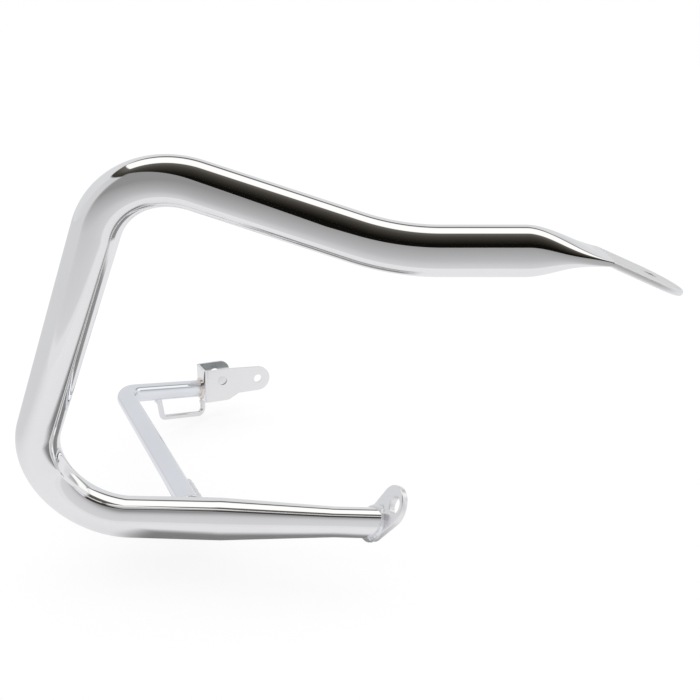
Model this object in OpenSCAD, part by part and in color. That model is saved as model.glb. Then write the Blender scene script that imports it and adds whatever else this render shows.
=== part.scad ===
// Saddlebag guard: a bent and swaged crash tube with a lug plate, a strut, a folded bracket and a guide loop.
// Origin: centre of the bolt hole in the lug plate. X runs along the two bars, Y goes in towards the bracket,
// Z is up. Millimetres.

/* [Guard tube] */
// outside diameter of the guard tube
tube_od = 31.75; // [25:0.05:40]
// wall of the guard tube
tube_wall = 2; // [1.5:0.1:4]
// Y of the top bar
bar_y = -50; // [-80:1:-20]
// height of the top bar
bar_z = 196; // [150:1:240]
// X where the top bar starts to be pressed flat
press_start = 82; // [60:1:100]
// X where the top bar turns up towards the shoulder
rise_x = -3; // [-40:1:30]
// bend radius at the foot of the rising length
rise_bend = 167; // [80:1:220]
// corner of the shoulder, before bending
shoulder = [-173, -34, 249];
// bend radius of the shoulder
shoulder_bend = 58; // [45:1:90]
// corner of the heel, before bending
heel = [-294, 59, -37];
// bend radius of the heel
heel_bend = 58; // [45:1:90]
// point where the axis of the lower run meets the lug plate
lower_end = [-15, 11.5, -20];
// outside diameter of the swaged lower end
swaged_od = 22.5; // [18:0.1:30]
// length of the swaged taper
taper_length = 86; // [40:1:120]
// length of straight small tube from the taper to the lug plate
small_length = 29; // [10:1:60]

/* [Pressed tab] */
// length of the pressing from round to flat
press_length = 40; // [25:1:60]
// drop of the tab below the bar axis where it leaves the pressing
press_drop = 3.2; // [0:0.1:6]
// slope of the tab below level
tab_slope = 24; // [0:1:45]
// width of the tab
tab_width = 46; // [40:0.5:50]
// thickness of the tab
tab_thick = 4; // [3:0.1:6]
// distance from the pressing to the bolt hole
tab_reach = 31; // [24:1:45]
// bolt hole in the tab
tab_hole = 10.5; // [8:0.1:14]

/* [Lug plate] */
// compass direction that the face of the plate looks to
plate_turn = 202.5; // [180:0.5:230]
// angle that the face of the plate looks up
plate_tilt = 25; // [0:1:45]
// thickness of the plate
plate_thick = 5; // [3:0.1:8]
// radius of the broad end round the bolt hole
broad_radius = 15.3; // [12:0.1:20]
// centre of the broad end, down and across the plate
broad_centre = [2.5, -5];
// radius of the narrow end under the tube
narrow_radius = 13; // [10:0.1:18]
// bolt hole in the plate
plate_hole = 12.5; // [8:0.1:16]

/* [Strut] */
// outside diameter of the strut
strut_od = 17.4; // [14:0.1:22]
// wall of the strut
strut_wall = 2; // [1.2:0.1:3]
// distance of the strut foot along the lower run from the heel corner
strut_foot = 150; // [100:1:200]
// corner of the strut, before bending
strut_corner = [-250.5, 262.5, -13.5];
// bend radius of the strut
strut_bend = 26; // [20:1:50]

/* [Bracket] */
// point where the strut axis meets the bracket web
bracket_at = [-190, 352.5, -40.5];
// turn of the bracket about the upright
bracket_turn = 25; // [0:1:45]
// depth over the two ears
bracket_depth = 30.5; // [20:1:40]
// thickness of the sheet
sheet = 3; // [2:0.1:5]
// inside radius of the folds
fold_radius = 2; // [1:0.5:5]
// height of the sheet above the strut axis
web_top = 22.5; // [15:0.5:30]
// depth of the sheet below the strut axis
web_bottom = -11.8; // [-15:0.5:-8]
// clevis hole, along the ear and above the strut axis
clevis_at = [19.5, 10.5];
// diameter of the clevis holes
clevis_hole = 10; // [8:0.1:14]
// arm hole, along the arm and above the strut axis
arm_at = [59, 7];
// diameter of the arm hole
arm_hole = 8.8; // [6:0.1:12]
// radius of the arm end
arm_radius = 13; // [10:0.1:18]
// reach of the rear ear
ear_reach = 36; // [28:0.5:45]
// corner radius of the rear ear
ear_corner = 10; // [5:0.5:14]

/* [Guide loop] */
// diameter of the loop rod
rod = 5.5; // [4:0.1:8]
// distance of the near leg from the bracket web along the strut
leg_near = -1.6; // [-3:0.1:20]
// distance of the far leg from the bracket web along the strut
leg_far = 65.5; // [40:0.5:80]
// amount that the far leg leans in at the bottom
leg_lean = 5; // [0:0.5:12]
// drop of the loop from the strut axis
loop_drop = 28.5; // [20:0.5:35]
// bend radius of the rod
loop_bend = 6; // [4:0.5:12]

/* [Welds] */
// radius of the bead round the tube on the lug plate
plate_bead = 3.6; // [2:0.1:6]
// radius of the bead round the strut foot
foot_bead = 3.2; // [2:0.1:6]
// radius of the run of weld up the open side of the strut
run_radius = 3.4; // [2:0.1:5]
// distance from the foot of the strut to the top of that run
run_length = 58; // [30:1:90]
// radius of the bead round the strut on the bracket
bracket_bead = 2.4; // [1.5:0.1:5]
// radius of the dab of weld at each loop end
loop_bead = 4; // [3:0.1:6]
// share by which the size of a bead wanders
bead_wander = 0.14; // [0:0.01:0.3]

/* [Hidden] */
$fn = 96;
lap = 0.4;
draw = 0.06;
far = 400;
rise = [rise_x, bar_y, bar_z];
bar_start = [press_start, bar_y, bar_z];
low_dir = unit(lower_end - heel);
foot = heel + strut_foot * low_dir;
strut_dir = unit(strut_corner - foot);
end_dir = unit(bracket_at - strut_corner);
taper_end = lower_end - small_length * low_dir;
taper_start = taper_end - taper_length * low_dir;
tube_points = [bar_start, rise, shoulder, heel, taper_start];
tube_bends = [0, rise_bend, shoulder_bend, heel_bend, 0];
loop_points = [
    bracket_at - leg_far * end_dir,
    bracket_at - (leg_far - leg_lean) * end_dir - [0, 0, loop_drop],
    bracket_at - leg_near * end_dir - [0, 0, loop_drop],
    bracket_at - leg_near * end_dir + [0, 0, web_bottom]
];
loop_bends = [0, loop_bend, loop_bend, 0];
bead_steps = [0 : 7.5 : 352.5];

// vector helpers
function unit(v) = v / norm(v);
function angle_between(a, b) = acos(max(-1, min(1, unit(a) * unit(b))));

// distance from a corner to the point where its bend starts
function setback(p, q, r, radius) = radius * tan((180 - angle_between(p - q, r - q)) / 2);
function bend_in(pts, bends, i) =
    bends[i] == 0 ? pts[i]
    : pts[i] + unit(pts[i - 1] - pts[i]) * setback(pts[i - 1], pts[i], pts[i + 1], bends[i]);
function bend_out(pts, bends, i) =
    bends[i] == 0 ? pts[i]
    : pts[i] + unit(pts[i + 1] - pts[i]) * setback(pts[i - 1], pts[i], pts[i + 1], bends[i]);

// turns the three axes of a frame into the angles that rotate() takes
function frame_angles(x, y, z) = [atan2(y[2], z[2]), -asin(x[2]), atan2(x[1], x[0])];

// stands the children on point p with their Z along direction d
module along(p, d) {
    translate(p) rotate([0, acos(unit(d)[2]), atan2(d[1], d[0])]) children();
}

// straight bar from p to q
module bar(p, q, d1, d2) {
    along(p, q - p) cylinder(h = norm(q - p), d1 = d1, d2 = d2);
}

// quarter-torus style bend at corner i of a path
module elbow(pts, bends, i, d) {
    a = unit(pts[i - 1] - pts[i]);
    b = unit(pts[i + 1] - pts[i]);
    half = angle_between(a, b) / 2;
    centre = pts[i] + unit(a + b) * bends[i] / sin(half);
    start = bend_in(pts, bends, i);
    x = unit(start - centre);
    y = -a;
    translate(centre) rotate(frame_angles(x, y, cross(x, y)))
        rotate_extrude(angle = 180 - 2 * half) translate([bends[i], 0]) circle(d = d);
}

// round bar through all the corners of a path, bent at each; the straights run a hair into the bends
module bent_bar(pts, bends, d) {
    for (i = [0 : len(pts) - 2]) {
        p = bend_out(pts, bends, i);
        q = bend_in(pts, bends, i + 1);
        u = lap * unit(q - p);
        bar(bends[i] == 0 ? p : p - u, bends[i + 1] == 0 ? q : q + u, d, d);
    }
    for (i = [1 : len(pts) - 2])
        elbow(pts, bends, i, d - draw);
}

// outer or inner shape of the swaged lower end; the taper is let into the tube at each end
module swaged_end(shrink, extra) {
    small = swaged_od - shrink;
    bar(taper_start - lap * low_dir, taper_end, tube_od - shrink - draw, small + draw);
    bar(taper_end - 2 * low_dir, lower_end + extra * low_dir, small, small);
}

// frame of the lug plate: Z out of its face, X down the plate, Y across it
module on_plate() {
    rotate([0, 90 - plate_tilt, plate_turn]) children();
}

// everything that lies behind the face of the lug plate
module behind_plate() {
    on_plate() translate([-far / 2, -far / 2, -far]) cube(far);
}

// frame of the pressed tab: X down the slope, Z out of its top face
module on_tab() {
    translate([press_start + press_length, bar_y, bar_z - press_drop]) rotate([0, tab_slope, 0]) children();
}

// one cross-section of the pressing, a rounded oblong at distance t of 1
function ease(t) = t * t * (3 - 2 * t);
function press_point(t, a, inset) =
    let (
        h0 = tube_od / 2 - inset - draw,
        h1 = max(0.4, tab_thick / 2 + 0.15 - inset),
        h = h0 * (1 - ease(t)) + h1 * ease(t),
        w = h0 * (1 - ease(t)) + (tab_width / 2 + 0.2 - inset) * ease(t),
        n = 2 / (2 + 6 * ease(t)),
        c = cos(a),
        s = sin(a),
        y = w * sign(c) * pow(abs(c), n),
        z = h * sign(s) * pow(abs(s), n),
        lean = tab_slope * ease(t) * ease(t)
    )
    [
        press_start - lap + (press_length + lap) * t + z * sin(lean),
        bar_y + y,
        bar_z - press_drop * t * t + z * cos(lean)
    ];

// the pressing from round to flat, as a skin over its cross-sections
module pressing(inset, last) {
    steps = 10;
    around = 40;
    points = [for (k = [0 : steps]) for (j = [0 : around - 1])
        press_point(last * k / steps, 360 * j / around, inset)];
    sides = [for (k = [0 : steps - 1]) for (j = [0 : around - 1])
        let (
            a = k * around + j,
            b = k * around + (j + 1) % around
        )
        each [[a, b + around, b], [a, a + around, b + around]]];
    first_cap = [for (j = [0 : around - 1]) j];
    last_cap = [for (j = [around - 1 : -1 : 0]) steps * around + j];
    polyhedron(points, concat(sides, [first_cap], [last_cap]), convexity = 4);
}

// flat tab with a full round end and its bolt hole
module tab() {
    on_tab() difference() {
        union() {
            translate([-1.5, -tab_width / 2, -tab_thick / 2]) cube([tab_reach + 1.5, tab_width, tab_thick]);
            translate([tab_reach, 0, -tab_thick / 2]) cylinder(h = tab_thick, d = tab_width);
        }
        translate([tab_reach, 0, -tab_thick]) cylinder(h = 2 * tab_thick, d = tab_hole);
    }
}

module guard_tube() {
    color("#d9dadc") difference() {
        union() {
            bent_bar(tube_points, tube_bends, tube_od);
            swaged_end(0, 20);
            pressing(0, 1);
            tab();
        }
        bent_bar(tube_points, tube_bends, tube_od - 2 * tube_wall);
        swaged_end(2 * tube_wall, 21);
        pressing(tube_wall, 0.75);
        behind_plate();
    }
}

// solid outline of the lug plate: two rounds joined by their tangents
module lug_block() {
    tail = plate_coords(lower_end);
    gap = tail - broad_centre;
    reach = norm(gap);
    broad = broad_radius - draw / 3;
    narrow = narrow_radius - draw / 3;
    a = acos((broad - narrow) / reach);
    translate([broad_centre[0], broad_centre[1], -plate_thick]) rotate(atan2(gap[1], gap[0])) {
        cylinder(h = plate_thick, r = broad_radius);
        translate([reach, 0, 0]) cylinder(h = plate_thick, r = narrow_radius);
        linear_extrude(plate_thick) polygon([
            [broad * cos(a), broad * sin(a)],
            [reach + narrow * cos(a), narrow * sin(a)],
            [reach + narrow * cos(a), -narrow * sin(a)],
            [broad * cos(a), -broad * sin(a)]
        ]);
    }
}

// place of a point on the lug plate, down and across it
function plate_coords(p) =
    let (
        down = [cos(plate_turn) * sin(plate_tilt), sin(plate_turn) * sin(plate_tilt), -cos(plate_tilt)],
        across = [-sin(plate_turn), cos(plate_turn), 0]
    )
    [p * down, p * across];

module lug_plate() {
    color("#cfd1d3") on_plate() difference() {
        lug_block();
        translate([0, 0, -2 * plate_thick]) cylinder(h = 3 * plate_thick, d = plate_hole);
    }
}

// solid shape of the strut, run on past the bracket web
module strut_bar(d, extra) {
    bent_bar([foot, strut_corner, bracket_at + extra * end_dir], [0, strut_bend, 0], d);
}

// frame of the bracket: X along its arm, Y through its ears, Z up
module on_bracket() {
    translate(bracket_at) rotate([0, 0, bracket_turn]) children();
}

// everything on the far side of the outer face of the bracket web
module past_web() {
    on_bracket() translate([0, -far / 2, -far / 2]) cube(far);
}

// a straight length of the guard tube, solid, at the strut foot
module guard_core() {
    bar(heel + 60 * low_dir, taper_start, tube_od, tube_od);
}

module strut_tube() {
    color("#cdd2d8") difference() {
        strut_bar(strut_od, 20);
        strut_bar(strut_od - 2 * strut_wall, 21);
        guard_core();
        past_web();
    }
}

// plan of the folded sheet, seen from above
module fold_plan() {
    outer = fold_radius + sheet;
    half = bracket_depth / 2;
    difference() {
        union() {
            translate([outer, -half]) square([90, bracket_depth]);
            translate([0, -half + outer]) square([90, bracket_depth - 2 * outer]);
            translate([outer, half - outer]) circle(r = outer);
            translate([outer, outer - half]) circle(r = outer);
        }
        translate([outer, sheet - half]) square([90, bracket_depth - 2 * sheet]);
        translate([sheet, outer - half]) square([90, bracket_depth - 2 * outer]);
        translate([outer, half - outer]) circle(r = fold_radius);
        translate([outer, outer - half]) circle(r = fold_radius);
    }
}

// side view of the front ear and its arm
module arm_outline() {
    polygon([
        [0, web_bottom],
        [26, web_bottom],
        [38, arm_at[1] - arm_radius],
        [arm_at[0], arm_at[1] - arm_radius],
        [arm_at[0], arm_at[1] + arm_radius],
        [27, web_top],
        [0, web_top]
    ]);
    translate(arm_at) circle(r = arm_radius);
}

// side view of the rear ear
module ear_outline() {
    translate([0, web_bottom]) square([ear_reach - ear_corner, web_top - web_bottom]);
    translate([0, web_bottom + ear_corner]) square([ear_reach, web_top - web_bottom - 2 * ear_corner]);
    translate([ear_reach - ear_corner, web_top - ear_corner]) circle(r = ear_corner);
    translate([ear_reach - ear_corner, web_bottom + ear_corner]) circle(r = ear_corner);
}

// a side view made solid from y = from to y = to
module side_block(from, to) {
    translate([0, to, 0]) rotate([90, 0, 0]) linear_extrude(to - from) children();
}

module clevis_bracket() {
    color("#d6d7da") on_bracket() difference() {
        intersection() {
            translate([0, 0, web_bottom - 5]) linear_extrude(web_top - web_bottom + 10) fold_plan();
            union() {
                side_block(-bracket_depth, 0) arm_outline();
                side_block(0, bracket_depth) ear_outline();
            }
        }
        translate([clevis_at[0], 0, clevis_at[1]]) rotate([90, 0, 0])
            cylinder(h = 2 * bracket_depth, d = clevis_hole, center = true);
        translate([arm_at[0], -bracket_depth / 2, arm_at[1]]) rotate([90, 0, 0])
            cylinder(h = 4 * sheet, d = arm_hole, center = true);
    }
}

module guide_loop() {
    color("#c4c6c8") difference() {
        bent_bar(loop_points, loop_bends, rod);
        strut_bar(strut_od, 20);
    }
}

// two directions square to d
function side_a(d) = unit(cross([0, 0, 1], d));
function side_b(d) = cross(unit(d), side_a(d));
function round_dir(d, a) = cos(a) * side_a(d) + sin(a) * side_b(d);

// where the skin of a bar through p along d, of radius r, meets the plane through p that faces n
function on_plane(p, d, r, n, a) = p + r * round_dir(d, a) - r * (round_dir(d, a) * n) / (d * n) * d;

// where the skin of a bar through p along d, of radius r, leaves a fat bar through p along axis, of radius fat
function square_part(v, axis) = v - (v * axis) * axis;
function on_bar(p, d, r, axis, fat, a) =
    let (
        u = square_part(r * round_dir(d, a), axis),
        v = square_part(d, axis),
        k = v * v,
        m = u * v,
        s = (-m + sqrt(m * m - k * (u * u - fat * fat))) / k
    )
    p + r * round_dir(d, a) + s * d;

// a bead of weld along a closed line of points, with its outward and upward directions
function wander(a) = 1 + bead_wander * (sin(5 * a + 40) + sin(3 * a)) / 2;
module bead(line, outs, ups, radius) {
    n = len(line);
    m = 10;
    points = [for (i = [0 : n - 1]) for (j = [0 : m - 1])
        let (r = radius * wander(360 * i / n))
        line[i] + r * cos(360 * j / m) * outs[i] + r * sin(360 * j / m) * ups[i]];
    faces = [for (i = [0 : n - 1]) for (j = [0 : m - 1])
        let (
            a = i * m + j,
            b = i * m + (j + 1) % m,
            c = ((i + 1) % n) * m + (j + 1) % m,
            d = ((i + 1) % n) * m + j
        )
        each [[a, c, b], [a, d, c]]];
    polyhedron(points, faces, convexity = 6);
}

module plate_weld() {
    face = [cos(plate_turn) * cos(plate_tilt), sin(plate_turn) * cos(plate_tilt), sin(plate_tilt)];
    color("#b9bbbd") difference() {
        bead(
            [for (a = bead_steps) on_plane(lower_end, -low_dir, swaged_od / 2, face, a)],
            [for (a = bead_steps) round_dir(-low_dir, a)],
            [for (a = bead_steps) face],
            plate_bead
        );
        swaged_end(0, 20, $fn = 360);
        behind_plate();
    }
}

// run of weld laid up the side of the strut that looks along the lower run, fading out at its top
module weld_run() {
    start = foot + (strut_od / 2 - 0.6) * unit(square_part(low_dir, strut_dir));
    fade = start + (run_length - 5) * strut_dir;
    bar(start, fade, 2 * run_radius, 2 * run_radius);
    bar(fade - lap * strut_dir, fade + 5 * strut_dir, 2 * run_radius - draw, run_radius);
}

module strut_weld() {
    color("#b9bbbd") difference() {
        union() {
            bead(
                [for (a = bead_steps) on_bar(foot, strut_dir, strut_od / 2, low_dir, tube_od / 2, -a)],
                [for (a = bead_steps) round_dir(strut_dir, -a)],
                [for (a = bead_steps) strut_dir],
                foot_bead
            );
            weld_run();
        }
        guard_core($fn = 360);
        strut_bar(strut_od, 20, $fn = 360);
    }
}

module bracket_weld() {
    face = -[cos(bracket_turn), sin(bracket_turn), 0];
    color("#a89886") difference() {
        bead(
            [for (a = bead_steps) on_plane(bracket_at, -end_dir, strut_od / 2, face, a)],
            [for (a = bead_steps) round_dir(-end_dir, a)],
            [for (a = bead_steps) face],
            bracket_bead
        );
        past_web();
        strut_bar(strut_od, 20, $fn = 360);
    }
}

module loop_welds() {
    color("#b9bbbd") difference() {
        translate(loop_points[0] - [0, 0, strut_od / 2 + 0.6]) sphere(r = loop_bead);
        strut_bar(strut_od, 20, $fn = 360);
        bent_bar(loop_points, loop_bends, rod, $fn = 200);
    }
    color("#b9bbbd") difference() {
        translate(loop_points[3] - [0, 0, 0.8]) sphere(r = loop_bead);
        on_bracket() translate([-20, -20, web_bottom]) cube(40);
        bent_bar(loop_points, loop_bends, rod, $fn = 200);
    }
}

guard_tube();
lug_plate();
strut_tube();
clevis_bracket();
guide_loop();
plate_weld();
strut_weld();
bracket_weld();
loop_welds();
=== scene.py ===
import math
import bpy
import bmesh
import numpy as np
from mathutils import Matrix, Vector
from mathutils.geometry import delaunay_2d_cdt


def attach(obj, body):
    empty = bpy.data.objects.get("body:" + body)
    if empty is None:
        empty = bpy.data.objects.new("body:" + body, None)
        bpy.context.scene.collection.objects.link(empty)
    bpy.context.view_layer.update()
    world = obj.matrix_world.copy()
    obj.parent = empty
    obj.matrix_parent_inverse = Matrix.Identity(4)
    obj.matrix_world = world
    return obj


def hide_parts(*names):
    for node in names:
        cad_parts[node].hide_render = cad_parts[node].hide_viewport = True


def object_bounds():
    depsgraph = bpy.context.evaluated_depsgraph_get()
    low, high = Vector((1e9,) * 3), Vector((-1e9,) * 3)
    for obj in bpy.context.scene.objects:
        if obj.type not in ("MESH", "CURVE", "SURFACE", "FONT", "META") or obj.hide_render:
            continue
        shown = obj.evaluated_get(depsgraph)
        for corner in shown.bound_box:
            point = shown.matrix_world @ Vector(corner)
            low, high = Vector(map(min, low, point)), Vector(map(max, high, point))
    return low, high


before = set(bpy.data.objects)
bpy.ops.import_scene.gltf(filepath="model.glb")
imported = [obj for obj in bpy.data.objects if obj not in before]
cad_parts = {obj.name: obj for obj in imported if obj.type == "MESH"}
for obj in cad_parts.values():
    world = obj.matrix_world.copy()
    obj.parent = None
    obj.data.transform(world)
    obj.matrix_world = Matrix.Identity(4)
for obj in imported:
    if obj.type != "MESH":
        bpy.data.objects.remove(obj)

cad_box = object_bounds()

# The shapes below are worked out in millimetres, in the frame of the model, and made metres once, in put().
MM = 0.001
UP = np.array([0.0, 0.0, 1.0])


def unit(v):
    """v divided by its own length, along the last axis."""
    return v / np.linalg.norm(v, axis=-1, keepdims=True)


def dot(a, b):
    """Sum of the products of the parts of a and b, kept as a last axis of one."""
    return (a * b).sum(-1, keepdims=True)


# Guard tube: corners of its centre line before bending, then its bend radii and its swaged end
TUBE_RADIUS = 31.75 / 2
BAR_START = np.array([82.0, -50.0, 196.0])
RISE = np.array([-3.0, -50.0, 196.0])
SHOULDER = np.array([-173.0, -34.0, 249.0])
HEEL = np.array([-294.0, 59.0, -37.0])
LOWER_END = np.array([-15.0, 11.5, -20.0])
RISE_BEND = 167
SHOULDER_BEND = 58
HEEL_BEND = 58
LOW_DIR = unit(LOWER_END - HEEL)
SWAGED_RADIUS = 22.5 / 2
TAPER_LENGTH = 86.0
SMALL_LENGTH = 29.0
TAPER_END = LOWER_END - SMALL_LENGTH * LOW_DIR
TAPER_START = TAPER_END - TAPER_LENGTH * LOW_DIR

# Pressed tab: the pressing starts PRESS_LEAD before the end of the bar, and PRESS_REACH is the share of a full
# smooth step that it goes through, so that it still slopes where it meets the tab
PRESS_LENGTH = 40.0
PRESS_LEAD = 8.0
PRESS_REACH = 0.88
PRESS_DROP = 3.2
ROUND_POWER = 2
FLAT_POWER = 8
NECK_WIDER = 0.1
NECK_THICKER = 0.05
TAB_SLOPE = math.radians(24)
TAB_WIDTH = 46.0
TAB_THICK = 4.0
TAB_REACH = 31.0
TAB_HOLE = 10.5 / 2
TAB_EDGE = 1.8
TAB_CORNER = 2.0
TAB_LET_IN = 0.6

# Lug plate
PLATE_TURN = math.radians(202.5)
PLATE_TILT = math.radians(25)
PLATE_THICK = 5.0
PLATE_HOLE = 12.5 / 2
PLATE_EDGE = 0.9
PLATE_FACE = np.array([
    math.cos(PLATE_TURN) * math.cos(PLATE_TILT),
    math.sin(PLATE_TURN) * math.cos(PLATE_TILT),
    math.sin(PLATE_TILT),
])
PLATE_DOWN = np.array([
    math.cos(PLATE_TURN) * math.sin(PLATE_TILT),
    math.sin(PLATE_TURN) * math.sin(PLATE_TILT),
    -math.cos(PLATE_TILT),
])
PLATE_ACROSS = np.cross(PLATE_FACE, PLATE_DOWN)
BROAD_CENTRE = np.array([2.5, -5.0])
BROAD_RADIUS = 15.3
NARROW_RADIUS = 13.0

# Strut, and the run of weld up its side
STRUT_RADIUS = 17.4 / 2
STRUT_CORNER = np.array([-250.5, 262.5, -13.5])
STRUT_BEND = 26.0
FOOT_ALONG = 150.0
FOOT = HEEL + FOOT_ALONG * LOW_DIR
STRUT_DIR = unit(STRUT_CORNER - FOOT)
RUN_RADIUS = 3.4
RUN_LENGTH = 58.0
RUN_FADE = 0.93
RUN_LET_IN = 0.6

# Bracket
BRACKET_AT = np.array([-190.0, 352.5, -40.5])
BRACKET_TURN = math.radians(25)
BRACKET_OUT = -np.array([math.cos(BRACKET_TURN), math.sin(BRACKET_TURN), 0.0])
BRACKET_DEPTH = 30.5
SHEET = 3.0
FOLD_OUTER = 5.0
WEB_TOP = 22.5
WEB_BOTTOM = -11.8
EAR_FLAT = 26.0
EAR_ROUND = 10.0
FRONT_TOP_FLAT = 27.0
ARM_FLAT = 38.0
ARM_BOTTOM = -6.0
ARM_END = 59.0
ARM_HEIGHT = 7.0
ARM_RADIUS = 13.0
ARM_HOLE = 4.4
PIN_OUT = 19.5
PIN_HEIGHT = 10.5
PIN_HOLE = 5.0
END_DIR = unit(BRACKET_AT - STRUT_CORNER)

# Guide loop
ROD_RADIUS = 5.5 / 2
LEG_NEAR = -1.6
LEG_FAR = 65.5
LEG_LEAN = 5.0
LOOP_DROP = 28.5
LOOP_BEND = 6.0
LOOP_CORNERS = [
    BRACKET_AT - LEG_FAR * END_DIR,
    BRACKET_AT - (LEG_FAR - LEG_LEAN) * END_DIR - LOOP_DROP * UP,
    BRACKET_AT - LEG_NEAR * END_DIR - LOOP_DROP * UP,
    BRACKET_AT - LEG_NEAR * END_DIR + WEB_BOTTOM * UP,
]


def put(name, parts, node):
    """
    Makes one object from (points, faces) parts in millimetres; it stands for one CAD node, which it hides, and
    rides with the root body.
    Faces of more than four corners are flat ends, and keep sharp edges.
    """
    points = np.concatenate([p.reshape(-1, 3) for p, _ in parts]) * MM
    faces, first = [], 0
    for p, f in parts:
        faces += [tuple(int(i) + first for i in face) for face in f]
        first += len(p.reshape(-1, 3))
    mesh = bpy.data.meshes.new(name)
    mesh.from_pydata(points.tolist(), [], faces)
    shape = bmesh.new()
    shape.from_mesh(mesh)
    bmesh.ops.remove_doubles(shape, verts=shape.verts, dist=1e-7)
    bmesh.ops.recalc_face_normals(shape, faces=shape.faces)
    for face in (f for f in shape.faces if len(f.verts) > 4):
        for edge in face.edges:
            edge.smooth = False
    shape.to_mesh(mesh)
    shape.free()
    mesh.polygons.foreach_set("use_smooth", [len(face.vertices) < 5 for face in mesh.polygons])
    piece = bpy.data.objects.new(name, mesh)
    bpy.context.scene.collection.objects.link(piece)
    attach(piece, "root")
    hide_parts(node)
    return piece


def grid_faces(rows, columns, close_rows=False):
    """Four-sided faces of a grid of points, numbered row by row, joined round along each row."""
    r = np.arange(rows if close_rows else rows - 1)[:, None]
    c = np.arange(columns)[None, :]
    r2, c2 = (r + 1) % rows, (c + 1) % columns
    corners = [r * columns + c, r * columns + c2, r2 * columns + c2, r2 * columns + c]
    return np.stack([np.broadcast_to(k, (r.size, c.size)) for k in corners], -1).reshape(-1, 4)


def capped(grid):
    """A grid of closed rings as one closed skin: its sides, and a flat face over the first and the last ring."""
    rows, columns = grid.shape[:2]
    faces = [tuple(f) for f in grid_faces(rows, columns)]
    faces.append(tuple(range(columns)))
    faces.append(tuple(range((rows - 1) * columns, rows * columns)))
    return grid, faces


def bent_line(corners, bends, straight_step, arc_step):
    """
    Centre line of a bar bent at its corners, and its direction, at many places.
    A bend of radius R turns through angle a about its centre: centre + R (start cos a + along sin a),
    where start points from the centre to the first touching point, and along is the direction of arrival.
    """
    points, dirs = [], []
    last = corners[0]
    for i in range(1, len(corners)):
        here = corners[i]
        arrive = unit(here - last)
        if bends[i] == 0:
            reach = here
        else:
            leave = unit(corners[i + 1] - here)
            turn = math.acos(float(arrive @ leave))
            reach = here - arrive * bends[i] * math.tan(turn / 2)
        n = max(2, int(np.linalg.norm(reach - last) / straight_step) + 1)
        share = np.linspace(0, 1, n, endpoint=bends[i] == 0)[:, None]
        points.append(last + share * (reach - last))
        dirs.append(np.broadcast_to(arrive, (n, 3)))
        if bends[i]:
            start = unit(arrive * float(arrive @ leave) - leave)
            centre = reach - bends[i] * start
            a = np.linspace(0, turn, max(4, int(bends[i] * turn / arc_step)), endpoint=False)[:, None]
            points.append(centre + bends[i] * (start * np.cos(a) + arrive * np.sin(a)))
            dirs.append(arrive * np.cos(a) - start * np.sin(a))
            last = here + leave * bends[i] * math.tan(turn / 2)
    return np.concatenate(points), np.concatenate(dirs)


def rings(points, dirs, radius, near, around):
    """
    Rings of a round bar: centre + radius (a cos t + b sin t), with a and b square to the centre line.
    a lies as near as it can to near, and b is its cross product with the line.
    """
    t = np.linspace(0, 2 * np.pi, around, endpoint=False)[None, :, None]
    a = unit(near - dot(dirs, near) * dirs)
    b = np.cross(dirs, a)
    r = np.broadcast_to(radius, (len(points),))[:, None, None]
    return points[:, None] + r * (a[:, None] * np.cos(t) + b[:, None] * np.sin(t))


def slid_to_plane(ring, direction, at, face):
    """A ring moved along direction, each point by its own distance, until it lies in the plane through at."""
    return ring + direction * (dot(at - ring, face) / float(direction @ face))


def slid_to_bar(ring, direction, at, axis, radius):
    """A ring moved along direction until it lies on a round bar through at along axis: a quadratic's root."""
    u = ring - at
    u = u - dot(u, axis) * axis
    v = direction - float(direction @ axis) * axis
    k, m = float(v @ v), dot(u, v)
    return ring + direction * ((-m + np.sqrt(m * m - k * (dot(u, u) - radius**2))) / k)


def ease(t):
    """Smooth start and stop: t squared times (3 - 2t)."""
    return t * t * (3 - 2 * t)


def pressed_rings(t, around):
    """
    Cross-sections of the bar where it is pressed from round to flat, at shares t of the pressing.
    Each is a rounded oblong, |y/w| to the power p plus |z/h| to the power p is 1, whose half width w grows
    and half height h shrinks with the eased share, leaning over with the tab. It stays an ellipse, p = 2,
    until near the end, where p rises to 8. Its points are spaced evenly round it.
    """
    fine = 2881
    t = t[:, None]
    e = ease(PRESS_REACH * t) / ease(PRESS_REACH)
    a = np.linspace(0, -2 * np.pi, fine)[None, :]
    w = TUBE_RADIUS * (1 - e) + (TAB_WIDTH / 2 + NECK_WIDER) * e
    h = TUBE_RADIUS * (1 - e) + (TAB_THICK / 2 + NECK_THICKER) * e
    power = 2 / (ROUND_POWER + (FLAT_POWER - ROUND_POWER) * t**6)
    y = w * np.sign(np.cos(a)) * np.abs(np.cos(a)) ** power
    z = h * np.sign(np.sin(a)) * np.abs(np.sin(a)) ** power
    step = np.hypot(np.diff(y, axis=1), np.diff(z, axis=1))
    run = np.concatenate([np.zeros((len(t), 1)), np.cumsum(step, 1)], 1)
    even = np.linspace(0, 1, around, endpoint=False)
    y = np.stack([np.interp(even, r / r[-1], v) for r, v in zip(run, y)])
    z = np.stack([np.interp(even, r / r[-1], v) for r, v in zip(run, z)])
    lean = TAB_SLOPE * e * e
    x = BAR_START[0] - PRESS_LEAD + (PRESS_LENGTH + PRESS_LEAD) * t + z * np.sin(lean)
    return np.stack([x, BAR_START[1] + y, BAR_START[2] - PRESS_DROP * t * t + z * np.cos(lean)], -1)


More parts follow.
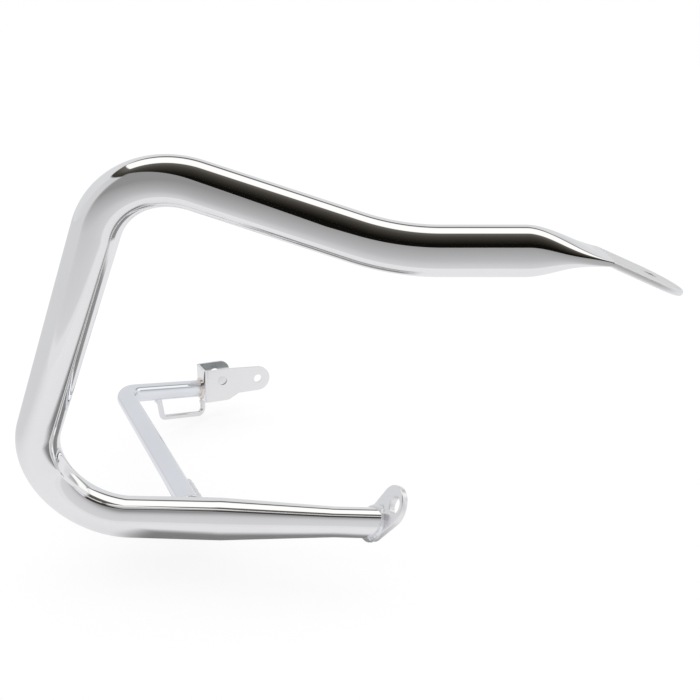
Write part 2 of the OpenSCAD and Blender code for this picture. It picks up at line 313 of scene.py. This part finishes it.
def edged_plate(outline, normals, hole, thick, edge):
    """
    A flat plate with one round hole, as a ring of sections carried round its outline.
    A section starts at the top of the hole wall, goes over the rounded rim of the hole, out across the top,
    round the rounded outer edge, back under the bottom and up the wall again.
    Returned as (across, down, height) with the hole's centre at 0, 0 and the top face at height 0.
    """
    spokes = unit(outline)
    rim = spokes * hole
    q = np.linspace(0, np.pi / 2, 7)[:, None, None]
    small = min(edge, 1.0) * 0.6
    flat = np.linspace(0, 1, 9)[1:-1, None, None]

    def level(xy, z):
        return np.concatenate([xy, np.broadcast_to(z, xy.shape[:-1] + (1,))], -1)

    inner_top = level(rim + spokes * small * (1 - np.cos(q)), -small + small * np.sin(q))
    outer_top = level(outline - normals * edge * (1 - np.sin(q)), -edge * (1 - np.cos(q)))
    across = level(
        (rim + spokes * small) * (1 - flat) + (outline - normals * edge) * flat, np.zeros_like(flat)
    )
    inner_low = inner_top[::-1] * [1, 1, -1] - [0, 0, thick]
    outer_low = outer_top[::-1] * [1, 1, -1] - [0, 0, thick]
    back = across[::-1] - [0, 0, thick]
    grid = np.concatenate([inner_top, across, outer_top, outer_low, back, inner_low])
    return grid, grid_faces(len(grid), grid.shape[1], close_rows=True)


def round_hull(centres, radii, count):
    """Outline round several circles as one tight belt: at each angle, the point that lies furthest that way."""
    a = np.linspace(0, 2 * np.pi, 7201)[:-1]
    n = np.stack([np.cos(a), np.sin(a)], -1)
    reach = np.stack([n @ c + r for c, r in zip(centres, radii)])
    pick = reach.argmax(0)
    points = np.asarray(centres)[pick] + np.asarray(radii)[pick][:, None] * n
    closed = np.concatenate([points, points[:1]])
    run = np.concatenate([[0], np.cumsum(np.linalg.norm(np.diff(closed, axis=0), axis=1))])
    even = np.linspace(0, run[-1], count, endpoint=False)
    n = np.concatenate([n, n[:1]])
    outline = np.stack([np.interp(even, run, closed[:, k]) for k in (0, 1)], -1)
    normals = unit(np.stack([np.interp(even, run, n[:, k]) for k in (0, 1)], -1))
    return outline, normals


def crash_tube():
    """The guard tube as one skin from the pressing to the lug plate, and the flat tab let into its end."""
    around = 180
    bar_end = BAR_START - [PRESS_LEAD, 0, 0]
    points, dirs = bent_line(
        [bar_end, RISE, SHOULDER, HEEL, TAPER_START],
        [0, RISE_BEND, SHOULDER_BEND, HEEL_BEND, 0],
        straight_step=4.0,
        arc_step=1.2,
    )
    near = np.array([0.0, 1.0, 0.0])
    body = rings(points[1:], dirs[1:], TUBE_RADIUS, near, around)
    share = np.linspace(0, 1, 60)[1:]
    taper = rings(
        TAPER_START + share[:, None] * TAPER_LENGTH * LOW_DIR,
        np.broadcast_to(LOW_DIR, (len(share), 3)),
        TUBE_RADIUS + (SWAGED_RADIUS - TUBE_RADIUS) * share,
        near,
        around,
    )
    small = rings(
        TAPER_END + np.array([[3.0], [8.0], [13.0]]) * LOW_DIR,
        np.broadcast_to(LOW_DIR, (3, 3)),
        SWAGED_RADIUS,
        near,
        around,
    )
    last = slid_to_plane(small[-1], LOW_DIR, LOWER_END - 1.5 * PLATE_FACE, PLATE_FACE)
    pressing = pressed_rings(np.linspace(1, 0, 90), around)
    grid = np.concatenate([pressing, body, taper, small, last[None]])

    side = TAB_WIDTH / 2
    back = TAB_LET_IN - TAB_REACH
    outline, normals = round_hull(
        [np.zeros(2), np.array([back, side - TAB_CORNER]), np.array([back, TAB_CORNER - side])],
        [side, TAB_CORNER, TAB_CORNER],
        240,
    )
    tab, tab_faces = edged_plate(outline, normals, TAB_HOLE, TAB_THICK, TAB_EDGE)
    along = np.array([math.cos(TAB_SLOPE), 0, -math.sin(TAB_SLOPE)])
    above = np.array([math.sin(TAB_SLOPE), 0, math.cos(TAB_SLOPE)])
    origin = BAR_START + [PRESS_LENGTH, 0, -PRESS_DROP] + TAB_REACH * along + TAB_THICK / 2 * above
    tab = origin + tab[..., :1] * along + tab[..., 1:2] * near + tab[..., 2:] * above
    return [capped(grid), (tab, tab_faces)]


def lug():
    """The lug plate: a tight belt round a broad and a narrow circle, with its edges eased and a bolt hole."""
    tail = np.array([LOWER_END @ PLATE_DOWN, LOWER_END @ PLATE_ACROSS])
    outline, normals = round_hull([BROAD_CENTRE, tail], [BROAD_RADIUS, NARROW_RADIUS], 280)
    plate, faces = edged_plate(outline, normals, PLATE_HOLE, PLATE_THICK, PLATE_EDGE)
    plate = plate[..., :1] * PLATE_DOWN + plate[..., 1:2] * PLATE_ACROSS + plate[..., 2:] * PLATE_FACE
    return [(plate, faces)]


def strut():
    """
    The strut: a bent tube fish-mouthed on the guard tube at its foot and cut to the face of the bracket web.
    The rings nearest its two ends give way to the two cut ones, which go a little way into their neighbours.
    """
    points, dirs = bent_line(
        [FOOT, STRUT_CORNER, BRACKET_AT], [0, STRUT_BEND, 0], straight_step=4.0, arc_step=0.8
    )
    skin = rings(points[6:-3], dirs[6:-3], STRUT_RADIUS, UP, 120)
    first = slid_to_bar(skin[0], STRUT_DIR, FOOT, LOW_DIR, TUBE_RADIUS - 0.6)
    last = slid_to_plane(skin[-1], END_DIR, BRACKET_AT - 0.8 * BRACKET_OUT, BRACKET_OUT)
    return [capped(np.concatenate([first[None], skin, last[None]]))]


def loop_rod():
    """The guide loop: thin rod bent twice, its ends let into the strut and into the weld on the bracket."""
    points, dirs = bent_line(LOOP_CORNERS, [0, LOOP_BEND, LOOP_BEND, 0], straight_step=1.5, arc_step=0.4)
    plane = unit(np.cross(END_DIR, UP))
    return [capped(rings(points, dirs, ROD_RADIUS, plane, 64))]


def folded(flat):
    """
    A flat sheet folded twice, square, into the bracket: flat is (distance along the sheet from the middle of
    the web, height, depth below the outer face). A fold turns the distance past the web into an angle.
    """
    half, inner = BRACKET_DEPTH / 2 - FOLD_OUTER, FOLD_OUTER
    arc = (inner - SHEET / 2) * math.pi / 2
    s, z, depth = flat[..., 0], flat[..., 1], flat[..., 2]
    side, past = np.sign(s), np.abs(s) - half
    a = np.clip(past / arc, 0, 1) * math.pi / 2
    x = inner - (inner - depth) * np.cos(a) + np.maximum(past - arc, 0)
    y = side * (half + np.minimum(past, 0) + (inner - depth) * np.sin(a))
    c, n = math.cos(BRACKET_TURN), math.sin(BRACKET_TURN)
    return BRACKET_AT + np.stack([x * c - y * n, x * n + y * c, z], -1)


def sheet_place(x):
    """Distance along the sheet, past the middle of the web, of a place at distance x from the web's face."""
    half = BRACKET_DEPTH / 2 - FOLD_OUTER
    return half + (FOLD_OUTER - SHEET / 2) * math.pi / 2 + x - FOLD_OUTER


def circle(centre, radius, start, end, count):
    """Points on an arc of a circle, from one angle in degrees to another."""
    a = np.radians(np.linspace(start, end, count))
    return np.stack([centre[0] + radius * np.cos(a), centre[1] + radius * np.sin(a)], -1)


def bracket_sheet():
    """The clevis bracket: a flat blank with its holes, cut into strips over the folds, thickened and folded."""
    arm = np.array([-sheet_place(ARM_END), ARM_HEIGHT])
    neck = -sheet_place(ARM_FLAT)
    front = [
        circle(arm, ARM_RADIUS, 90, 270, 49),
        [[neck - 2.0, ARM_BOTTOM]],
        circle([neck, ARM_BOTTOM + 0.8], 0.8, 270, 315, 5),
        [[-sheet_place(EAR_FLAT), WEB_BOTTOM]],
    ]
    rear_low = circle([sheet_place(EAR_FLAT), WEB_BOTTOM + EAR_ROUND], EAR_ROUND, 270, 360, 25)
    rear_top = circle([sheet_place(EAR_FLAT), WEB_TOP - EAR_ROUND], EAR_ROUND, 0, 90, 25)
    half = BRACKET_DEPTH / 2 - FOLD_OUTER
    arc = (FOLD_OUTER - SHEET / 2) * math.pi / 2
    folds = np.linspace(half, half + arc, 13)
    strips = np.concatenate([-folds[::-1], folds])
    low = np.stack([strips, np.full_like(strips, WEB_BOTTOM)], -1)
    top = np.stack([strips[::-1], np.full_like(strips, WEB_TOP)], -1)
    outline = np.concatenate(
        front + [low, rear_low, rear_top, top, [[-sheet_place(FRONT_TOP_FLAT), WEB_TOP]]]
    )
    holes = [
        (np.array([-sheet_place(PIN_OUT), PIN_HEIGHT]), PIN_HOLE),
        (np.array([sheet_place(PIN_OUT), PIN_HEIGHT]), PIN_HOLE),
        (arm, ARM_HOLE),
    ]
    loops = [outline] + [circle(c, r, 0, 360, 65)[:-1] for c, r in holes]
    edges, first = [], 0
    for loop in loops:
        n = len(loop)
        edges += [(first + i, first + (i + 1) % n) for i in range(n)]
        first += n
    start = sum(len(f) for f in front)
    after = start + len(low) + len(rear_low) + len(rear_top)
    edges += [(start + i, after + len(low) - 1 - i) for i in range(len(low))]
    flat = np.concatenate(loops)
    made = delaunay_2d_cdt([Vector(p) for p in flat], edges, [], 1, 1e-6)
    points = np.array([tuple(p) for p in made[0]])
    faces = np.array(made[2])
    middle = points[faces].mean(1)
    keep = np.ones(len(faces), bool)
    for c, r in holes:
        keep &= np.linalg.norm(middle - c, axis=1) > r
    faces = faces[keep]
    n = len(points)
    outer = folded(np.concatenate([points, np.zeros((n, 1))], 1))
    inner = folded(np.concatenate([points, np.full((n, 1), SHEET)], 1))
    pairs = np.sort(np.concatenate([faces[:, [0, 1]], faces[:, [1, 2]], faces[:, [2, 0]]]), 1)
    pairs, uses = np.unique(pairs, axis=0, return_counts=True)
    rim = pairs[uses == 1]
    walls = np.stack([rim[:, 0], rim[:, 1], rim[:, 1] + n, rim[:, 0] + n], 1)
    skin = [tuple(f) for f in faces] + [tuple(f + n) for f in faces[:, ::-1]] + [tuple(w) for w in walls]
    return [(np.concatenate([outer, inner]), skin)]


def ripple(a, seed, lumps, depth):
    """Uneven swelling along a weld: 1 plus depth times a few waves of different lengths, shifted by seed."""
    return 1 + depth * (
        0.5 * np.sin(lumps * a + seed)
        + 0.3 * np.sin((lumps * 2 + 1) * a + 2.1 * seed)
        + 0.2 * np.sin((lumps * 3 + 2) * a + 3.7 * seed)
    )


def bead(line, out, up, radius, seed, depth):
    """
    A bead of weld: a lumpy round carried round a closed line. At angle a round the line and b round the
    section it lies at line + r(a, b) (out cos b + up sin b), where r swells and shrinks in ripples.
    """
    lumps, section = 5, 36
    count = len(line)
    a = np.linspace(0, 2 * np.pi, count, endpoint=False)[:, None]
    b = np.linspace(0, 2 * np.pi, section, endpoint=False)[None, :]
    pool = 0.05 * np.abs(np.sin(lumps * 3.5 * a + 0.8 * np.cos(b) + seed))
    r = radius * (ripple(a, seed, lumps, depth) + pool + 0.06 * np.sin(3 * b + 4 * a + seed))
    r = r[..., None]
    up = np.broadcast_to(up, line.shape)
    grid = line[:, None] + r * (out[:, None] * np.cos(b)[..., None] + up[:, None] * np.sin(b)[..., None])
    return grid, grid_faces(count, section, close_rows=True)


def plate_bead():
    """Weld round the small end of the guard tube, where it stands on the lug plate."""
    ring = rings(LOWER_END[None], -LOW_DIR[None], SWAGED_RADIUS, UP, 240)[0]
    line = slid_to_plane(ring, LOW_DIR, LOWER_END, PLATE_FACE)
    return [bead(line, unit(ring - LOWER_END), PLATE_FACE, radius=2.7, seed=1.3, depth=0.12)]


def foot_bead():
    """
    Weld round the foot of the strut, on the guard tube, and the run laid up the side of the strut, a bar whose
    radius waves a little and falls to nothing over its last stretch as a quarter round does.
    """
    ring = rings(FOOT[None], STRUT_DIR[None], STRUT_RADIUS, UP, 240)[0]
    line = slid_to_bar(ring, STRUT_DIR, FOOT, LOW_DIR, TUBE_RADIUS)
    side = unit(LOW_DIR - float(LOW_DIR @ STRUT_DIR) * STRUT_DIR)
    share = np.linspace(0, 1, 90)
    size = RUN_RADIUS * np.sqrt(1 - np.clip((share - RUN_FADE) / (1 - RUN_FADE), 0, 1) ** 2 * 0.98)
    size = size * (1 + 0.035 * np.sin(40 * share) + 0.02 * np.sin(97 * share + 1))
    run = rings(
        FOOT + (STRUT_RADIUS - RUN_LET_IN) * side + share[:, None] * RUN_LENGTH * STRUT_DIR,
        np.broadcast_to(STRUT_DIR, (len(share), 3)),
        size,
        UP,
        40,
    )
    return [bead(line, unit(ring - FOOT), STRUT_DIR, radius=3.0, seed=0.4, depth=0.15), capped(run)]


def bracket_bead():
    """Weld round the end of the strut, on the bracket web."""
    ring = rings(BRACKET_AT[None], END_DIR[None], STRUT_RADIUS, UP, 220)[0]
    line = slid_to_plane(ring, END_DIR, BRACKET_AT, BRACKET_OUT)
    return [bead(line, unit(ring - BRACKET_AT), BRACKET_OUT, radius=2.3, seed=2.2, depth=0.3)]


def dab(centre, size, seed):
    """A dab of weld: a ball whose radius swells in soft lumps with both its angles."""
    a = np.linspace(0, 2 * np.pi, 48, endpoint=False)[None, :]
    b = np.linspace(0.02, np.pi - 0.02, 28)[:, None]
    r = size * (1 + 0.07 * np.sin(3 * a + seed) * np.sin(b) ** 2 + 0.06 * np.sin(4 * b + 2 * a + seed))
    return capped(centre + np.stack([
        r * np.sin(b) * np.cos(a), r * np.sin(b) * np.sin(a), r * np.cos(b) * np.ones_like(a)
    ], -1))


def loop_dabs():
    """Dabs of weld where the loop meets the strut and the bracket."""
    return [
        dab(LOOP_CORNERS[0] - (STRUT_RADIUS + 0.9) * UP, size=3.6, seed=0.7),
        dab(LOOP_CORNERS[3] - 3.2 * UP, size=3.3, seed=1.9),
    ]


class Tree:
    """Adds nodes to one emptied node tree; a value is a number, a colour or another node's output."""

    def __init__(self, owner):
        owner.use_nodes = True
        self.nodes, self.links = owner.node_tree.nodes, owner.node_tree.links
        self.nodes.clear()

    def put(self, socket, value):
        """Sets or links one input."""
        if isinstance(value, (int, float)):
            socket.default_value = value
        elif isinstance(value, tuple):
            socket.default_value = (*value, 1)
        else:
            self.links.new(value, socket)

    def add(self, kind, **settings):
        """A new node with its settings."""
        node = self.nodes.new(kind)
        for key, value in settings.items():
            setattr(node, key, value)
        return node

    def math(self, kind, *values):
        """A Math node over the values."""
        node = self.add("ShaderNodeMath", operation=kind)
        for socket, value in zip(node.inputs, values):
            self.put(socket, value)
        return node.outputs[0]

    def vector_math(self, kind, vector, other):
        """The number that a Vector Math node makes of a vector and a fixed one."""
        node = self.add("ShaderNodeVectorMath", operation=kind)
        self.links.new(vector, node.inputs[0])
        node.inputs[1].default_value = other
        return node.outputs["Value"]

    def spread(self, value, start, end, first=0.0, last=1.0, kind="SMOOTHSTEP"):
        """first where the value is before start and last after end, with a rise between them."""
        node = self.add("ShaderNodeMapRange", interpolation_type=kind)
        for socket, number in (("From Min", start), ("From Max", end), ("To Min", first), ("To Max", last)):
            node.inputs[socket].default_value = number
        self.put(node.inputs["Value"], value)
        return node.outputs["Result"]

    def ramp(self, value, stops):
        """A colour ramp over (position, colour) stops."""
        node = self.add("ShaderNodeValToRGB")
        band = node.color_ramp
        while len(band.elements) < len(stops):
            band.elements.new(0.5)
        for element, (position, tone) in zip(band.elements, stops):
            element.position = position
            element.color = (*tone, 1)
        self.put(node.inputs["Fac"], value)
        return node.outputs["Color"]

    def mix(self, share, a, b, kind="RGBA"):
        """a where share is 0 and b where it is 1."""
        node = self.add("ShaderNodeMix", data_type=kind)
        self.put(node.inputs["Factor"], share)
        self.put(node.inputs["A"], a)
        self.put(node.inputs["B"], b)
        return node.outputs["Result"]

    def noise(self, place, scale, detail):
        """Soft noise between 0 and 1."""
        node = self.add("ShaderNodeTexNoise")
        self.put(node.inputs["Scale"], scale)
        self.put(node.inputs["Detail"], detail)
        self.put(node.inputs["Vector"], place)
        return node.outputs["Fac"]

    def place(self, kind="Object"):
        """A coordinate of the surface, or the direction of a ray in a world."""
        return self.add("ShaderNodeTexCoord").outputs[kind]

    def parts(self, vector):
        """The three parts of a vector."""
        node = self.add("ShaderNodeSeparateXYZ")
        self.put(node.inputs[0], vector)
        return node.outputs

    def shader(self, kind, values):
        """A shader node with its named inputs set or linked."""
        node = self.add(kind)
        for key, value in values.items():
            self.put(node.inputs[key], value)
        return node.outputs[0]

    def end(self, kind, shader):
        """The output node."""
        self.links.new(shader, self.add(kind).inputs["Surface"])


def chrome(name, tone, rough, haze, ripple_size, ripple_depth, tint=None, dull=None):
    """
    Plated steel: a mirror whose polish, tone and surface vary a little over the piece.
    tint is (colour, mask maker) for a stained part and for a part with painted shade, and dull is (roughness,
    mask maker) for a satin part.
    """
    material = bpy.data.materials.new(name)
    tree = Tree(material)
    place = tree.place()
    cloud = tree.noise(place, scale=18.0, detail=4.0)
    colour = tree.ramp(cloud, [(0.3, tuple(0.97 * c for c in tone)), (0.7, tone)])
    if tint:
        colour = tree.mix(tint[1](tree, place), colour, tint[0])
    roughness = tree.spread(cloud, 0.3, 0.7, rough, rough + haze, "LINEAR")
    if dull:
        roughness = tree.mix(dull[1](tree, place), roughness, dull[0], "FLOAT")
    bump = tree.add("ShaderNodeBump")
    tree.put(bump.inputs["Strength"], 1.0)
    tree.put(bump.inputs["Distance"], ripple_depth)
    tree.put(bump.inputs["Height"], tree.noise(place, scale=ripple_size, detail=2.0))
    shader = tree.shader("ShaderNodeBsdfPrincipled", {
        "Base Color": colour, "Metallic": 1.0, "Roughness": roughness, "Normal": bump.outputs["Normal"]
    })
    tree.end("ShaderNodeOutputMaterial", shader)
    return material


def beyond(tree, place, facing, start, end):
    """Mask: 0 before the distance start along a direction, 1 after end (in millimetres)."""
    return tree.spread(tree.vector_math("DOT_PRODUCT", place, tuple(facing)), start * MM, end * MM)


def heat_at_bracket(tree, place):
    """Mask of the heat mark on the end of the strut, which fades with distance from the bracket."""
    reach, fade = 9.0, 12.0
    distance = tree.vector_math("DISTANCE", place, tuple(BRACKET_AT * MM))
    return tree.spread(distance, reach * MM, (reach + fade) * MM, 1.0, 0.0)


def tab_end(tree, place):
    """Mask of the pressed tab, which is duller than the tube."""
    neck = BAR_START[0] + PRESS_LENGTH
    return beyond(tree, place, (1, 0, 0), neck - 1.0, neck + 4.0)


def painted_clevis_shade(tree, place):
    """Mask of the upper part of the rear ear's inner face, which is darkened there as painted shade inside the
    clevis.
    """
    inward = (-math.sin(BRACKET_TURN), math.cos(BRACKET_TURN), 0)
    face = float(BRACKET_AT @ np.array(inward)) + BRACKET_DEPTH / 2 - SHEET
    top = BRACKET_AT[2] + 13.0
    only = tree.math(
        "SUBTRACT",
        beyond(tree, place, inward, face - 0.7, face - 0.2),
        beyond(tree, place, inward, face + 0.3, face + 0.6),
    )
    return tree.math("MULTIPLY", only, beyond(tree, place, (0, 0, 1), top, top + 3.0))


TUBE_FINISH = chrome(
    "mirror_chrome", (0.93, 0.93, 0.935), 0.02, 0.02, 60.0, 0.000004, dull=(0.48, tab_end)
)
STRUT_FINISH = chrome(
    "strut_chrome", (0.88, 0.90, 0.94), 0.035, 0.03, 90.0, 0.000006,
    tint=((0.80, 0.745, 0.70), heat_at_bracket),
)
PLATE_FINISH = chrome("plate_chrome", (0.92, 0.92, 0.93), 0.26, 0.06, 160.0, 0.00002)
# The bracket's dark tint on the upper rear ear's inner face is painted shade inside the clevis, not a finish of
# its own.
BRACKET_FINISH = chrome(
    "bracket_chrome", (0.94, 0.94, 0.945), 0.22, 0.06, 160.0, 0.00002,
    tint=((0.34, 0.36, 0.36), painted_clevis_shade),
)
LOOP_FINISH = chrome("loop_chrome", (0.88, 0.88, 0.885), 0.12, 0.05, 120.0, 0.00001)
WELD_FINISH = chrome("weld_chrome", (0.90, 0.91, 0.93), 0.32, 0.08, 420.0, 0.00003)
TINT_FINISH = chrome("tinted_weld", (0.88, 0.84, 0.80), 0.26, 0.08, 420.0, 0.00003)

# Name, maker, slot, CAD node, finish, and how far the edges are eased (millimetres)
PIECES = [
    ("crash_tube_skin", crash_tube, "tube_chrome", "guard_tube", TUBE_FINISH, 0),
    ("lug_plate_skin", lug, "plate_chrome", "lug_plate", PLATE_FINISH, 0),
    ("strut_skin", strut, "tube_chrome", "strut_tube", STRUT_FINISH, 0),
    ("bracket_sheet", bracket_sheet, "plate_chrome", "clevis_bracket", BRACKET_FINISH, 0.5),
    ("loop_rod", loop_rod, "loop_chrome", "guide_loop", LOOP_FINISH, 0),
    ("plate_bead", plate_bead, "weld_chrome", "plate_weld", WELD_FINISH, 0),
    ("foot_bead", foot_bead, "weld_chrome", "strut_weld", WELD_FINISH, 0),
    ("bracket_bead", bracket_bead, "tinted_weld", "bracket_weld", TINT_FINISH, 0),
    ("loop_dabs", loop_dabs, "weld_chrome", "loop_welds", WELD_FINISH, 0),
]
for name, make, slot, node, finish, eased in PIECES:
    piece = put(name, make(), node)
    piece.data.materials.append(finish)
    if eased:
        easing = piece.modifiers.new("eased_edges", "BEVEL")
        easing.width = eased * MM
        easing.segments = 3
        easing.limit_method = "ANGLE"
        easing.angle_limit = math.radians(40)
        easing.harden_normals = True

# Camera at the place from which the object was seen
camera_data = bpy.data.cameras.new("camera")
camera_data.lens = 51.43
camera_data.sensor_width = 36.0
camera_data.clip_end = 50
camera = bpy.data.objects.new("camera", camera_data)
camera.location = (-0.0316, -0.6450, 0.3262)
camera.rotation_euler = (math.radians(72), 0, 0)
bpy.context.scene.collection.objects.link(camera)
bpy.context.scene.camera = camera


def stage_sheet(name, corners):
    """A flat piece of the studio with the given corners, and its empty node tree."""
    mesh = bpy.data.meshes.new(name)
    mesh.from_pydata(corners, [], [tuple(range(len(corners)))])
    sheet = bpy.data.objects.new(name, mesh)
    bpy.context.scene.collection.objects.link(sheet)
    material = bpy.data.materials.new(name)
    mesh.materials.append(material)
    return sheet, Tree(material)


def distance(tree, value, centre):
    """How far a value lies from a centre, on either side."""
    return tree.math("ABSOLUTE", tree.math("SUBTRACT", value, centre))


def over(tree, value, limit):
    """How far a value goes past a limit, or 0."""
    return tree.math("MAXIMUM", tree.math("SUBTRACT", value, limit), 0.0)


# Floor: part of its white is its own, and the rest is the light that falls on it, which the object shades.
# Polished metal sees it a little greyer far to the left and far behind, and sees a painted shadow, dark, close
# under the lower run.
FLOOR_HEIGHT = cad_box[0].z - 0.002
FLOOR_HALF = 9.0
FLOOR_MATT = (0.3, 0.3, 0.3)
FLOOR_WHITE = (0.72, 0.72, 0.72)
UNDER_RUN_X, UNDER_RUN_Y = -0.105, 0.075
corners = ((-1, -1), (1, -1), (1, 1), (-1, 1))
floor, tree = stage_sheet("floor", [(x * FLOOR_HALF, y * FLOOR_HALF, FLOOR_HEIGHT) for x, y in corners])
fx, fy, _ = tree.parts(tree.place())
seen = tree.add("ShaderNodeLightPath").outputs
grey = tree.mix(tree.spread(fy, 0.3, 1.0), (0.54, 0.54, 0.555), (0.47, 0.475, 0.49))
grey = tree.mix(tree.spread(fx, -0.60, -0.30), (0.385, 0.387, 0.40), grey)
# Painted shadow: the floor's own colour for polished metal goes to black in a patch close under the lower run,
# standing in for the run's shadow on the floor.
clear = tree.math(
    "MAXIMUM",
    tree.spread(distance(tree, fy, UNDER_RUN_Y), 0.065, 0.105),
    tree.spread(distance(tree, fx, UNDER_RUN_X), 0.085, 0.125),
)
grey = tree.mix(clear, (0.0, 0.0, 0.0), grey)
own = tree.mix(seen["Is Camera Ray"], grey, FLOOR_WHITE)
shown = tree.math("MAXIMUM", seen["Is Camera Ray"], seen["Is Glossy Ray"])
both = tree.add("ShaderNodeAddShader")
tree.put(both.inputs[0], tree.shader("ShaderNodeBsdfDiffuse", {"Color": FLOOR_MATT}))
tree.put(both.inputs[1], tree.shader("ShaderNodeEmission", {"Color": own, "Strength": shown}))
tree.end("ShaderNodeOutputMaterial", both.outputs[0])

# White card upright in front of the object, below the lens, seen only by polished metal. It dims upwards, its
# top edge rises to the left, and it ends softly on both sides.
CARD_Y = -0.139
CARD_LEFT, CARD_STEP, CARD_RIGHT = -0.60, -0.05, 0.50
CARD_TOP, CARD_LEFT_TOP = 0.237, 0.577
CARD_MIDDLE = -0.05
card_outline = [
    (CARD_LEFT, FLOOR_HEIGHT),
    (CARD_RIGHT, FLOOR_HEIGHT),
    (CARD_RIGHT, CARD_TOP),
    (CARD_STEP, CARD_TOP),
    (CARD_LEFT, CARD_LEFT_TOP),
]
card, tree = stage_sheet("front_card", [(x, CARD_Y, z) for x, z in card_outline])
card.visible_camera = card.visible_diffuse = card.visible_shadow = card.visible_transmission = False
cx, _, cz = tree.parts(tree.place())
face = tree.ramp(tree.math("MULTIPLY_ADD", cz, 2.0, 0.3), [
    (0.22, (0.80, 0.80, 0.81)),
    (0.26, (0.69, 0.69, 0.70)),
    (0.43, (0.65, 0.65, 0.66)),
    (0.52, (0.61, 0.61, 0.62)),
    (0.60, (0.52, 0.52, 0.53)),
    (0.70, (0.42, 0.42, 0.425)),
    (0.82, (0.29, 0.29, 0.29)),
])
both = tree.add("ShaderNodeMixShader")
tree.put(both.inputs[0], tree.spread(distance(tree, cx, CARD_MIDDLE), 0.36, 0.52))
tree.put(both.inputs[1], tree.shader("ShaderNodeEmission", {"Color": face}))
tree.put(both.inputs[2], tree.shader("ShaderNodeBsdfTransparent", {}))
tree.end("ShaderNodeOutputMaterial", both.outputs[0])

# The studio round the object: white to the camera, and a plain light on matt surfaces. Polished metal shows
# pale walls, a dark ceiling above them and one wide soft light overhead, a little behind.
world = bpy.data.worlds.new("studio")
bpy.context.scene.world = world
tree = Tree(world)
wx, wy, wz = tree.parts(tree.place("Generated"))
walls = tree.ramp(tree.math("MULTIPLY_ADD", wx, 0.5, 0.5), [
    (0.00, (0.70, 0.70, 0.71)),
    (0.06, (0.65, 0.65, 0.66)),
    (0.25, (0.66, 0.66, 0.67)),
    (0.50, (0.72, 0.72, 0.73)),
    (0.75, (0.78, 0.78, 0.79)),
    (1.00, (0.84, 0.84, 0.85)),
])
BACK_WALL = (0.74, 0.745, 0.76)
walls = tree.mix(tree.spread(wy, -0.1, 0.5), walls, BACK_WALL)

# High strip light between dark edges on the right of the back wall
strips = tree.ramp(wx, [
    (0.42, BACK_WALL),
    (0.50, (0.36, 0.365, 0.36)),
    (0.58, (0.42, 0.425, 0.42)),
    (0.63, (1.05, 1.05, 1.03)),
    (0.81, (1.05, 1.05, 1.03)),
    (0.86, (0.40, 0.41, 0.41)),
    (0.93, (0.56, 0.57, 0.57)),
])
high_back = tree.math("MULTIPLY", tree.spread(wy, 0.05, 0.2), tree.spread(wz, 0.10, 0.22))
walls = tree.mix(high_back, walls, strips)

# Ceiling, darker with distance from the edges of the overhead light, measured on a level plane of height 1;
# the distance behind the light counts less, so that a grey gap stays between it and the back wall
LIGHT_HALF_WIDTH = 0.90
LIGHT_FRONT, LIGHT_BACK = 0.11, 0.74
BACK_SHARE = 0.28
above = tree.math("MAXIMUM", wz, 0.05)
behind = tree.math("DIVIDE", wy, above)
gap_x = over(tree, tree.math("ABSOLUTE", tree.math("DIVIDE", wx, above)), LIGHT_HALF_WIDTH)
gap_front = tree.math("MAXIMUM", tree.math("SUBTRACT", LIGHT_FRONT, behind), 0.0)
gap_back = tree.math("MULTIPLY", over(tree, behind, LIGHT_BACK), BACK_SHARE)
gap_y = tree.math("MAXIMUM", gap_front, gap_back)
squares = tree.math("ADD", tree.math("MULTIPLY", gap_x, gap_x), tree.math("MULTIPLY", gap_y, gap_y))
ceiling = tree.ramp(tree.math("DIVIDE", tree.math("SQRT", squares), 1.4), [
    (0.000, (1.10, 1.09, 1.07)),
    (0.012, (1.10, 1.09, 1.07)),
    (0.040, (0.150, 0.140, 0.126)),
    (0.160, (0.100, 0.093, 0.081)),
    (0.250, (0.064, 0.059, 0.050)),
    (0.400, (0.041, 0.037, 0.030)),
    (0.600, (0.019, 0.017, 0.014)),
    (0.900, (0.005, 0.0045, 0.0035)),
])

# The walls end lower in front than at the back, and on the right they run up to the top
in_front = tree.spread(tree.math("MULTIPLY", wy, -1.0), 0.45, 0.85)
rise = tree.math("MULTIPLY_ADD", in_front, 0.3, wz)
rise = tree.math("MULTIPLY_ADD", tree.spread(wy, 0.2, 0.5), -0.06, rise)
left = tree.math("SUBTRACT", 1.0, tree.spread(wx, 0.54, 0.66))
room = tree.mix(tree.math("MULTIPLY", tree.spread(rise, 0.525, 0.565), left), walls, ceiling)
rays = tree.add("ShaderNodeLightPath").outputs
colour = tree.mix(rays["Is Glossy Ray"], (1.0, 1.0, 1.0), room)
tree.end("ShaderNodeOutputWorld", tree.shader("ShaderNodeBackground", {"Color": colour}))

bpy.context.scene.view_settings.view_transform = "Standard"
